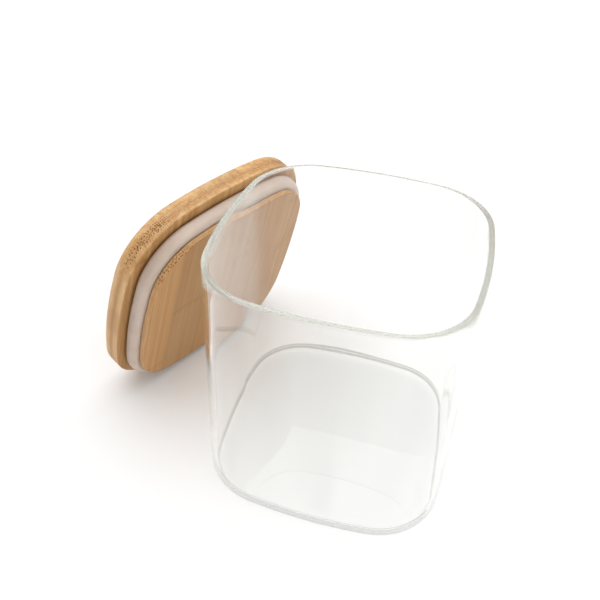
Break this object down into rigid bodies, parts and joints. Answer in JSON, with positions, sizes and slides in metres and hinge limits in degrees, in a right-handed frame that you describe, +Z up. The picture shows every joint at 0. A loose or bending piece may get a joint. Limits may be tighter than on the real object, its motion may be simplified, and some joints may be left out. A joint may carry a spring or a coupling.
{
  "type": "food canister",
  "caption": "Square clear glass food canister with rounded corners; its bamboo lid, with plug and silicone seal ring, is off and leans on the jar's side.",
  "frame": {"origin": "centre of the glass jar's flat underside, on the surface that it stands on", "axes": "+Z up along the jar's own axis; X and Y across the jar's sides; the lid leans on the jar's -X side, turned a little towards +Y"},
  "size_m": [0.1571, 0.1336, 0.106],
  "materials": {
    "clear_glass": "clear, fire-polished rim",
    "silicone": "translucent milky, matt",
    "bamboo_upper": "sanded, oiled, satin",
    "bamboo_middle": "sanded, oiled, satin",
    "bamboo_plug": "sanded, oiled, satin"
  },
  "bodies": {
    "jar": {"glass_jar": "clear_glass"},
    "lid": {"upper_strip_1": "bamboo_upper", "upper_strip_2": "bamboo_upper", "upper_strip_3": "bamboo_upper", "upper_strip_4": "bamboo_upper", "upper_strip_5": "bamboo_upper", "middle_strip_1": "bamboo_middle", "middle_strip_2": "bamboo_middle", "middle_strip_3": "bamboo_middle", "middle_strip_4": "bamboo_middle", "middle_strip_5": "bamboo_middle", "middle_strip_6": "bamboo_middle", "plug_strip_1": "bamboo_plug", "plug_strip_2": "bamboo_plug", "plug_strip_3": "bamboo_plug", "plug_strip_4": "bamboo_plug", "plug_strip_5": "bamboo_plug", "gasket": "silicone"}
  },
  "joints": [
    {"name": "lid_tip", "type": "hinge", "parent": "jar", "child": "lid", "pos_m": [-0.08845, 0.03864, 0.00482], "axis": [-0.4003, -0.9164, 0], "range_deg": [0, 106.8]}
  ]
}
